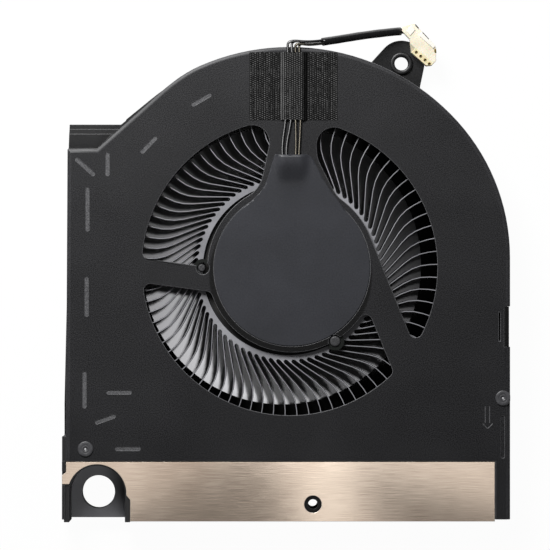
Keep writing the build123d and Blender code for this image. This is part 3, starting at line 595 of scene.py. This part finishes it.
# Ear ring: soft black rubber with rounded flanges
grommet = {
    "x": 23.8,
    "y": 43.35,
    "dark": (12, 12, 13),
    "light": (24, 24, 25),
    "patch": 1.6,
    "grain": 0.1,
    "depth": 0.01,
    "rough": (0.36, 0.5),
}
grommetProfile = (
    (1.44, 3.1),
    (1.48, 3.26),
    (1.6, 3.36),
    (1.78, 3.4),
    (2.04, 3.4),
    (2.2, 3.36),
    (2.32, 3.26),
    (2.36, 3.1),
    (2.36, 2.86),
    (2.3, 2.8),
    (1.95, 2.8),
    (1.95, 0.6),
    (2.3, 0.6),
    (2.36, 0.5),
    (2.36, 0.2),
    (2.2, 0.03),
    (2.1, 0),
    (1.6, 0),
    (1.48, 0.04),
    (1.44, 0.2),
    (1.44, 3.1),
)
show(
    "ear_grommet_round",
    lathe("grommet_mesh", grommetProfile, grommet["x"], grommet["y"]),
    [surface("grommet_rubber", grommet)],
    "housing",
    ["ear_grommet"],
)

# Heads that hold the cover: flat rivets with a dimple, a ring and a light centre
head = {
    "dark": (46, 46, 48),
    "light": (84, 84, 87),
    "patch": 0.9,
    "grain": 0.09,
    "speckle": 0.5,
    "depth": 0.012,
    "rough": (0.34, 0.5),
}
headProfile = (
    (0, 12.12),
    (0.16, 12.125),
    (0.3, 12.17),
    (0.44, 12.27),
    (0.54, 12.31),
    (0.66, 12.3),
    (0.74, 12.27),
    (0.84, 12.27),
    (0.92, 12.305),
    (1.1, 12.31),
    (1.42, 12.3),
    (1.54, 12.26),
    (1.61, 12.17),
    (1.62, 12.0),
    (1.5, 11.98),
)
centreProfile = ((0, 12.145), (0.1, 12.145), (0.17, 12.135), (0.24, 12.14), (0.27, 12.12))
headCentre = dict(head, dark=(150, 150, 152), light=(236, 236, 238), patch=0.3)
headMaterial = surface("head_plastic", head)
centreMaterial = surface("head_centre_plastic", headCentre)
rightEdge = cadBox[1].x * 1000 - rotorX
for name, x, y in (("head_left", -42.3, -37.4), ("head_right", rightEdge - 1.5, -26.8)):
    mesh = lathe(name + "_mesh", headProfile, x, y, rough=0.012)
    build = bmesh.new()
    build.from_mesh(mesh)
    cut = bmesh.ops.bisect_plane(
        build,
        geom=build.verts[:] + build.edges[:] + build.faces[:],
        plane_co=at(rightEdge, 0),
        plane_no=(1, 0, 0),
        clear_outer=True,
    )
    rim = [item for item in cut["geom_cut"] if isinstance(item, bmesh.types.BMEdge)]
    if rim:
        bmesh.ops.edgeloop_fill(build, edges=[edge for edge in rim if edge.is_boundary])
    build.to_mesh(mesh)
    build.free()
    show(name, mesh, [headMaterial], "housing")
    centre = lathe(name + "_centre_mesh", centreProfile, x, y, 20)
    show(name + "_centre", centre, [centreMaterial], "housing")

# Locating pins, melted over: one low and half sunk, one rough and nearly level
pin = dict(head, dark=(36, 36, 38), light=(66, 66, 68), patch=0.6, rough=(0.4, 0.6))
pinMaterial = surface("pin_plastic", pin)
pinPlaces = ((-18.1, 0.36, 11.4, 0.06, 0.76), (9.72, -14.97, 11.84, 0.09, 1.1))  # x, y, top, rough, wide
for number, (x, y, top, rough, wide) in enumerate(pinPlaces, start=1):
    profile = ((0, top), (0.3 * wide, top), (0.55 * wide, top + 0.01), (0.8 * wide, top))
    profile += ((0.92 * wide, top - 0.05), (wide, top - 0.2), (wide + 0.02, 10.9))
    mesh = lathe(f"pin_{number}_mesh", profile, x, y, 40, rough)
    show(f"locating_pin_{number}", mesh, [pinMaterial], "housing", ["locating_pins"])

# Arrow in thin raised lines on the cover
arrow = {"lineWidth": 0.2, "lineHeight": 0.035}
arrowRuns = (
    ((41.02, -28.5), (41.02, -31.96)),
    ((41.92, -28.5), (41.92, -31.96)),
    ((40.44, -32.1), (41.54, -33.2)),
    ((41.54, -33.2), (42.62, -32.1)),
)


def thinRidge(name, runs, width, height):
    points = []
    faces = []
    for first, last in runs:
        along = (Vector(last) - Vector(first)).normalized()
        across = Vector((-along.y, along.x)) * width / 2
        start = len(points)
        for end in (Vector(first), Vector(last)):
            for share, lift in ((-1, 0), (-0.45, 1), (0.45, 1), (1, 0)):
                spot = end + across * share
                points.append(at(spot.x, spot.y, coverTop + height * lift))
        faces += [(start + side, start + side + 1, start + side + 5, start + side + 4) for side in range(3)]
    return meshOf(name, points, faces, smooth=False)


# The lines take the cover's lighter edge colour, which stands for wear and a painted highlight
show(
    "arrow_lines",
    thinRidge("arrow_mesh", arrowRuns, arrow["lineWidth"], arrow["lineHeight"]),
    [bpy.data.materials["cover_edge_wear_and_sheen_paint"]],
    "housing",
)
print("heads, pins and arrow made")

# Label: a plain film that sags over the window and rises over the wires
label = {
    "thickness": 0.05,
    "mesh": 0.55,
    "rim": 0.14,
    "level": 12.02,
    "dip": 0.05,
    "dipRadius": 4.6,
    "dipPlace": (0.73, 18.9),
    "radius": 16.25,
    "rise": 0.62,
    "riseAlong": (17.6, 22.6),
    "riseLeft": (-3.2, -1.0),
    "riseRight": (2.4, 4.6),
    "dark": (42, 43, 47),
    "light": (52, 53, 58),
    "patch": 12.0,
    "grain": 0.3,
    "speckle": 0.4,
    "depth": 0.006,
    "rough": (0.4, 0.5),
    "sockets": {"Specular IOR Level": 0.35},
}
labelCentre = (0.73, 0.31)
labelNeck = (
    (3.96, 23.98),
    (4.75, 23.45),
    (5.26, 22.8),
    (6.04, 21.1),
    (7.34, 18.65),
    (8.65, 16.56),
    (10.2, 14.5),
    (11.9, 12.2),
)
labelNeckLeft = (
    (-8.9, 13.3),
    (-7.24, 14.74),
    (-5.94, 16.04),
    (-4.9, 17.6),
    (-4.25, 19.4),
    (-3.73, 21.25),
    (-3.33, 22.4),
    (-2.81, 23.98),
)


def between(low, high, value):
    part = min(max((value - low) / (high - low), 0), 1)
    return part * part * (3 - 2 * part)


def labelHeight(x, y):
    # The film lies on the cover, and is higher over the wires and their window
    far = math.hypot(x - label["dipPlace"][0], y - label["dipPlace"][1])
    dip = label["dip"] * (1 - between(0.4, 1.0, far / label["dipRadius"]))
    overWires = between(*label["riseAlong"], y) * between(*label["riseLeft"], x)
    overWires *= 1 - between(*label["riseRight"], x)
    return label["level"] + max(label["rise"] * overWires, dip)


def labelMesh():
    middleX, middleY = labelCentre
    first = math.atan2(labelNeck[-1][1] - middleY, labelNeck[-1][0] - middleX)
    last = math.atan2(labelNeckLeft[0][1] - middleY, labelNeckLeft[0][0] - middleX) - 2 * math.pi
    outline = list(labelNeck)
    turns = 150
    radius = label["radius"]
    for index in range(1, turns):
        turn = first + (last - first) * index / turns
        outline.append((middleX + radius * math.cos(turn), middleY + radius * math.sin(turn)))
    outline += list(labelNeckLeft)
    count = len(outline)
    flat = [Vector(point) for point in outline]
    # A second line just inside the rim keeps its rounded edge even
    for index in range(count):
        along = flat[(index + 1) % count] - flat[index - 1]
        flat.append(flat[index] + Vector((along.y, -along.x)).normalized() * label["rim"])
    step = label["mesh"]
    rows = int(45 / step)
    for row in range(rows):
        for column in range(rows):
            x = -20 + column * step + (step / 2 if row % 2 else 0)
            y = -19 + row * step
            inside = math.hypot(x - middleX, y - middleY) < radius - 0.6 * step
            neck = y > 12 and abs(x - 0.8) < 9
            if inside or neck:
                flat.append(Vector((x, y)))
    edges = [(index, (index + 1) % count) for index in range(count)]
    spots, _, faces, *_ = geometry.delaunay_2d_cdt(flat, edges, [list(range(count))], 1, 0.0001)
    points = [at(spot.x, spot.y, labelHeight(spot.x, spot.y)) for spot in spots]
    return meshOf("label_mesh", points, faces)


labelMaterial = surface("label_film", label)
labelPiece = show(
    "hub_label_film",
    labelMesh(),
    [labelMaterial],
    "housing",
    ["hub_label"],
)
thick = labelPiece.modifiers.new("film", "SOLIDIFY")
thick.thickness = label["thickness"] / 1000
thick.offset = -1
evenNormals(labelPiece)

# Painted shade: the film's colour is darker in a soft disc below its raised neck
labelPaintedShade = {"x": 0.73, "y": 19.8, "radius": 4.6, "fade": 0.7, "shade": 0.62}
shadeDisc(labelMaterial, labelPaintedShade)

# Tape: woven ribs along the wires, with a rounded ridge over them
tape = {
    "left": -8.1,
    "right": 10.2,
    "front": 31.15,
    "back": 45.25,
    "ribs": 38,
    "ribHeight": 0.13,
    "perRib": 6,
    "rows": 128,
    "pick": 0.44,
    "threadShare": 0.44,
    "ridgeHeight": 0.62,
    "ridgeLeft": (-1.75, -0.95),
    "ridgeRight": (2.95, 4.2),
    "footLines": ((-1.6, -1.4), (-1.2, -1.0)),
    "darkSide": (2.8, 4.1),
    "dark": (2, 2, 2),
    "light": (12, 12, 12),
    "patch": 3.0,
    "grain": 0.09,
    "speckle": 0.7,
    "depth": 0.03,
    "rough": (0.35, 0.6),
    "sockets": {"Specular IOR Level": 0.2},
}


def tapeHeight(x, y):
    # The ridge wanders a little along the wires
    wander = 0.15 * noise.noise(Vector((y * 0.25, 1.7, 0)))
    rise = between(*tape["ridgeLeft"], x + wander) * (1 - between(*tape["ridgeRight"], x + wander))
    return coverTop + 0.01 + tape["ridgeHeight"] * rise


def glintLimit(x):
    # Painted highlights: thread tops take a lighter colour at the ridge's left foot and on its top, and
    # hardly on its right side
    if any(low < x < high for low, high in tape["footLines"]):
        return 0.1
    low, high = tape["darkSide"]
    if low < x < high:
        return 1.5
    return tape["threadShare"] * (0.78 if -1 < x < low else 1)


def tapeMesh():
    columns = tape["ribs"] * tape["perRib"]
    rows = tape["rows"]
    width = tape["right"] - tape["left"]
    length = tape["back"] - tape["front"]
    tops = []
    heights = []
    for row in range(rows + 1):
        y = tape["front"] + length * row / rows
        for column in range(columns + 1):
            x = tape["left"] + width * column / columns
            rib = column / tape["perRib"]
            index = int(rib)
            shape = math.sin(math.pi * (rib - index))
            strength = 0.76 + 0.34 * noise.noise(Vector((index * 3.37, y * 0.05, 2.0)))
            strength += 0.3 * noise.noise(Vector((index * 1.37, y * 0.9, 4.0)))
            drift = 0.9 * noise.noise(Vector((index * 0.9, y * 0.3, 8.0)))
            weave = 1 + 0.45 * math.sin(2 * math.pi * y / tape["pick"] + math.pi * (index % 2) + drift)
            height = tape["ribHeight"] * shape * strength * weave
            sway = 0.07 * noise.noise(Vector((index * 0.8, y * 0.5, 5.0)))
            fray = 0.12 * noise.noise(Vector((index * 2.1, 9.0, row / rows))) if row in (0, rows) else 0
            heights.append(height)
            tops.append(at(x + sway, y + fray, tapeHeight(x, y) + 0.03 + height))
    faces = []
    raised = []
    for row in range(rows):
        for column in range(columns):
            corner = row * (columns + 1) + column
            faces.append((corner, corner + 1, corner + columns + 2, corner + columns + 1))
            limit = glintLimit(tape["left"] + width * column / columns)
            raised.append(heights[corner] > 2 * limit * tape["ribHeight"])
    mesh = meshOf("tape_mesh", tops, faces)
    for polygon, isRaised in zip(mesh.polygons, raised):
        polygon.material_index = 1 if isRaised else 0
    return mesh


# Painted highlights: a lighter copy of the cloth for the tops of the threads
threadGlint = dict(tape, dark=(46, 46, 46), light=(102, 102, 102))
tapePiece = show(
    "cloth_tape_woven",
    tapeMesh(),
    [surface("tape_cloth", tape), surface("tape_thread_glint", threadGlint)],
    "housing",
    ["cloth_tape"],
)
print("label and tape made")

# Plug: cream nylon, with a rail and a collar on top, and a row of windows in front
plug = {
    "edge": 0.12,
    "dark": (222, 213, 190),
    "light": (240, 233, 214),
    "patch": 2.2,
    "grain": 0.3,
    "speckle": 0.2,
    "depth": 0.004,
    "rough": (0.28, 0.42),
    "sockets": {"Subsurface Weight": 0.12, "Subsurface Scale": 0.0006},
}
plugMaterial = surface("plug_nylon", plug)
plugPiece = softCopy("connector_housing", [plugMaterial], plug["edge"], 3)

plugOrigin = (25.77, 45.5)
plugTurn = math.radians(-41.5)


def onPlug(x, y):
    # From the plug's own axes to plan positions from the rotor's axis
    return (
        plugOrigin[0] + x * math.cos(plugTurn) - y * math.sin(plugTurn),
        plugOrigin[1] + x * math.sin(plugTurn) + y * math.cos(plugTurn),
    )


def prism(name, outline, low, high, material, edge):
    # An upright block over an outline, with rounded edges
    count = len(outline)
    points = [at(x, y, low) for x, y in outline] + [at(x, y, high) for x, y in outline]
    faces = [tuple(range(count, 2 * count)), tuple(reversed(range(count)))]
    for index in range(count):
        following = (index + 1) % count
        faces.append((index, following, count + following, count + index))
    piece = show(name, meshOf(name + "_mesh", points, faces), [material], "housing")
    bevel = piece.modifiers.new("edges", "BEVEL")
    bevel.width = edge / 1000
    bevel.segments = 3
    evenNormals(piece)


plugParts = {
    "plug_rail": (((-1.1, 3.72), (2.9, 3.72), (2.9, 4.45), (-1.1, 4.8)), 5.6, 6.25),
    "plug_collar": (((-3.75, 2.75), (-2.5, 2.5), (-2.5, 4.1), (-3.75, 4.35)), 5.9, 6.15),
    "plug_front": (((0.02, 0.02), (4.15, 0.02), (4.95, 0.85), (5.0, 1.4), (0.02, 1.4)), 4.4, 6.04),
}
# The rail and the collar keep the plain nylon that comes with the solids
plainNylon = bpy.data.materials["plug_nylon"]
frontMaterial = surface("plug_front_nylon", dict(plug, dark=(214, 200, 160), light=(234, 222, 186)))
for name, (outline, low, high) in plugParts.items():
    chosen = frontMaterial if name == "plug_front" else plainNylon
    prism(name, [onPlug(x, y) for x, y in outline], low, high, chosen, 0.07)
contactLook = {
    "dark": (96, 78, 26),
    "light": (150, 128, 62),
    "patch": 0.5,
    "grain": 0.08,
    "depth": 0.004,
    "rough": (0.3, 0.5),
    "sockets": {"Metallic": 0.6},
}
contactMaterial = surface("window_metal", contactLook)
# Painted shade: the windows' middles are flat dark discs for the shade in their openings
windowShadeLook = dict(contactLook, dark=(24, 18, 8), light=(50, 38, 16), sockets={})
windowShadeMaterial = surface("window_dark", windowShadeLook)
windows = {
    "places": (0.75, 2.0, 3.2, 4.4),
    "row": 0.75,
    "rim": ((0.2, 6.05), (0.24, 6.08), (0.3, 6.08), (0.34, 6.03)),
    "middle": ((0, 6.05), (0.24, 6.055)),
}
for number, x in enumerate(windows["places"], start=1):
    spot = onPlug(x, windows["row"])
    rim = lathe(f"window_rim_mesh_{number}", windows["rim"], *spot, 20)
    show(f"window_rim_{number}", rim, [contactMaterial], "housing")
    middle = lathe(f"window_mesh_{number}", windows["middle"], *spot, 20)
    show(f"window_{number}", middle, [windowShadeMaterial], "housing")
tip = [onPlug(x, y) for x, y in ((3.1, 3.7), (3.75, 3.2), (4.0, 3.5), (3.35, 4.05))]
prism("plug_tip", tip, 5.2, 6.05, contactMaterial, 0.05)
# The back ribs take the same painted shade colour, for their shaded sides
backRibs = (
    ((-3.3, 4.85), (-2.25, 4.75), (-2.25, 4.95), (-3.3, 5.05)),
    ((-1.13, 4.66), (0.9, 4.46), (0.9, 4.62), (-1.13, 4.82)),
)
for number, outline in enumerate(backRibs, start=1):
    rib = [onPlug(x, y) for x, y in outline]
    prism(f"plug_back_rib_{number}", rib, 5.5, 6.3, windowShadeMaterial, 0.03)

# Latch: the tongue of the case at the notch of the cover, near-black as painted shade
tongue = {
    "left": 45.2,
    "right": 45.95,
    "front": -16.08,
    "back": -7.72,
    "low": 11.4,
    "top": 12.03,
    "edge": 0.05,
}
tongueOutline = (
    (tongue["left"], tongue["front"]),
    (tongue["right"], tongue["front"]),
    (tongue["right"], tongue["back"]),
    (tongue["left"], tongue["back"]),
)
tongueShadeMaterial = surface("latch_shade_black", dict(case, dark=(2, 2, 3), light=(7, 7, 8)))
prism(
    "latch_tongue",
    tongueOutline,
    tongue["low"],
    tongue["top"],
    tongueShadeMaterial,
    tongue["edge"],
)
print("plug and latch made")

# Solids that keep their shape and get a finish
metallic = {"Metallic": 1.0}
finishes = {
    # The yoke's near-black colour is painted shade, for the dark gap inside the hub ring
    "rotor_yoke": {"dark": (16, 16, 17), "light": (30, 30, 31), "rough": (0.35, 0.5)},
    "magnet_ring": {"dark": (38, 36, 35), "light": (52, 50, 48), "rough": (0.6, 0.8)},
    "shaft": {"dark": (170, 170, 172), "light": (205, 205, 207), "rough": (0.12, 0.2), "sockets": metallic},
    "retaining_ring": {"dark": (225, 222, 210), "light": (240, 238, 228), "rough": (0.35, 0.5)},
    "bearing_tube": {
        "dark": (170, 140, 80),
        "light": (205, 172, 104),
        "rough": (0.2, 0.34),
        "sockets": metallic,
    },
    "bearing_sleeve": {
        "dark": (128, 92, 58),
        "light": (160, 118, 78),
        "rough": (0.4, 0.6),
        "sockets": metallic,
    },
    "thrust_pad": {"dark": (200, 184, 150), "light": (216, 202, 170), "rough": (0.4, 0.55)},
    "tube_cap": {"dark": (18, 18, 19), "light": (30, 30, 31), "rough": (0.4, 0.55)},
    "stator_core": {
        "dark": (96, 98, 102),
        "light": (130, 132, 136),
        "rough": (0.35, 0.5),
        "sockets": metallic,
    },
    "lower_insulator": {"dark": (26, 26, 28), "light": (38, 38, 40), "rough": (0.4, 0.55)},
    "upper_insulator": {"dark": (26, 26, 28), "light": (38, 38, 40), "rough": (0.4, 0.55)},
    "coils": {"dark": (120, 52, 22), "light": (190, 96, 48), "rough": (0.22, 0.36), "sockets": metallic},
    "circuit_board": {"dark": (10, 13, 11), "light": (18, 22, 19), "rough": (0.3, 0.42)},
    "driver_chip": {"dark": (20, 20, 21), "light": (34, 34, 35), "rough": (0.5, 0.65)},
    "board_parts": {"dark": (130, 104, 78), "light": (170, 142, 110), "rough": (0.4, 0.6)},
    "connector_contacts": {
        "dark": (150, 128, 62),
        "light": (190, 166, 92),
        "rough": (0.25, 0.4),
        "sockets": metallic,
    },
}
for node, look in finishes.items():
    material = surface(node + "_finish", dict({"patch": 4.0, "grain": 0.15, "depth": 0.006}, **look))
    nodes[node].data.materials.clear()
    nodes[node].data.materials.append(material)
print("finishes set")

# Studio
studio = {
    "floor": (250, 250, 250),
    "floorGlow": 0.97,
    "floorLevel": -0.3,
    "floorRadius": 3000,
    "paper": (235, 235, 238),
    "paperPlace": (-1.35, 0.95, -0.15),
    "paperRadius": 31,
    "world": 0.1,
}


def groundMaterial(name, colour, share=0.0):
    # The camera sees this share of a plain white glow, all else sees matt paper
    material = bpy.data.materials.new(name)
    material.use_nodes = True
    tree = material.node_tree
    tree.nodes.clear()
    output = addNode(tree, "ShaderNodeOutputMaterial")
    matt = addNode(tree, "ShaderNodeBsdfDiffuse", {"Color": tone(*colour)})
    glow = 1.0 if share else 0.0
    light = addNode(tree, "ShaderNodeEmission", {"Color": (1, 1, 1, 1), "Strength": glow})
    path = addNode(tree, "ShaderNodeLightPath")
    amount = addNode(tree, "ShaderNodeMath", {1: share}, operation="MULTIPLY")
    mix = addNode(tree, "ShaderNodeMixShader")
    tree.links.new(path.outputs["Is Camera Ray"], amount.inputs[0])
    tree.links.new(amount.outputs[0], mix.inputs["Fac"])
    tree.links.new(matt.outputs[0], mix.inputs[1])
    tree.links.new(light.outputs[0], mix.inputs[2])
    tree.links.new(mix.outputs[0], output.inputs["Surface"])
    return material


def stageDisc(name, x, y, z, radius, material):
    mesh = bpy.data.meshes.new(name)
    build = bmesh.new()
    bmesh.ops.create_circle(build, cap_ends=True, segments=96, radius=radius / 1000)
    build.to_mesh(mesh)
    build.free()
    mesh.materials.append(material)
    disc = bpy.data.objects.new(name, mesh)
    disc.location = at(x, y, z)
    scene.collection.objects.link(disc)
    return disc


floorMaterial = groundMaterial("floor_white", studio["floor"], studio["floorGlow"])
stageDisc("floor", 0, 0, studio["floorLevel"], studio["floorRadius"], floorMaterial)
paperMaterial = groundMaterial("paper_grey", studio["paper"])
paperDisc = stageDisc("paper", *studio["paperPlace"], studio["paperRadius"], paperMaterial)

world = bpy.data.worlds.new("studio")
scene.world = world
world.use_nodes = True
tree = world.node_tree
tree.nodes.clear()
output = addNode(tree, "ShaderNodeOutputWorld")
seen = addNode(tree, "ShaderNodeBackground", {"Color": (1, 1, 1, 1), "Strength": 1.0})
around = addNode(tree, "ShaderNodeBackground", {"Color": (1, 1, 1, 1), "Strength": studio["world"]})
path = addNode(tree, "ShaderNodeLightPath")
mix = addNode(tree, "ShaderNodeMixShader")
tree.links.new(path.outputs["Is Camera Ray"], mix.inputs["Fac"])
tree.links.new(around.outputs[0], mix.inputs[1])
tree.links.new(seen.outputs[0], mix.inputs[2])
tree.links.new(mix.outputs[0], output.inputs["Surface"])



def litGroup(name, *pieces):
    group = bpy.data.collections.new(name)
    for piece in pieces:
        group.objects.link(piece)
    return group


# The key lamp stands at the upper left; the strips light the drawn plate alone
plateOnly = litGroup("plate_only", platePiece)
caseOnly = litGroup("case_only", casePiece)
wiresOnly = litGroup("wires_only", *[piece for piece, _ in wirePieces])
paperOnly = litGroup("paper_only", paperDisc)
notPaper = litGroup("not_paper", paperDisc)
notPaper.collection_objects[0].light_linking.link_state = "EXCLUDE"
lamps = {
    "key": {
        "place": (-100, 225, 250),
        "size": (150, 150),
        "power": 1.75,
        "aim": (0, 0),
        "only": notPaper,
    },
    "paperSide": {
        "place": (32, 42, 420),
        "size": (26, 26),
        "power": 0.0045,
        "aim": (-9, -18),
        "only": paperOnly,
        "spread": 10,
    },
    "paperFront": {
        "place": (6, -100, 420),
        "size": (26, 26),
        "power": 0.0005,
        "aim": (4, -20),
        "only": paperOnly,
        "spread": 7,
    },
    "wireTop": {
        "place": (-60, 60, 300),
        "size": (200, 200),
        "power": 1.3,
        "aim": (0, 30),
        "only": wiresOnly,
    },
    "plateWide": {
        "place": (-65, -50, 560),
        "size": (180, 300),
        "power": 0.0346,
        "aim": (0, -46),
        "only": plateOnly,
    },
    "plateBand": {
        "place": (13, -74, 560),
        "size": (24, 300),
        "power": 0.026,
        "aim": (5, -46),
        "only": plateOnly,
    },
    "plateLeft": {
        "place": (-86, -74, 560),
        "size": (44, 300),
        "power": 0.042,
        "aim": (-36, -46),
        "only": plateOnly,
    },
    "plateRight": {
        "place": (120, -74, 560),
        "size": (44, 300),
        "power": 0.042,
        "aim": (42, -46),
        "only": plateOnly,
    },
    "caseFill": {
        "place": (60, -150, 300),
        "size": (150, 150),
        "power": 0.5,
        "aim": (0, -20),
        "only": caseOnly,
    },
}
for name, lamp in lamps.items():
    light = bpy.data.lights.new(name, "AREA")
    light.shape = "RECTANGLE"
    light.energy = lamp["power"]
    light.size = lamp["size"][0] / 1000
    light.size_y = lamp["size"][1] / 1000
    light.spread = math.radians(lamp.get("spread", 180))
    lampObject = bpy.data.objects.new(name, light)
    lampObject.location = at(*lamp["place"])
    aim = at(*lamp["aim"]) - lampObject.location
    lampObject.rotation_euler = aim.to_track_quat("-Z", "Y").to_euler()
    scene.collection.objects.link(lampObject)
    if "only" in lamp:
        lampObject.light_linking.receiver_collection = lamp["only"]
print("studio set")
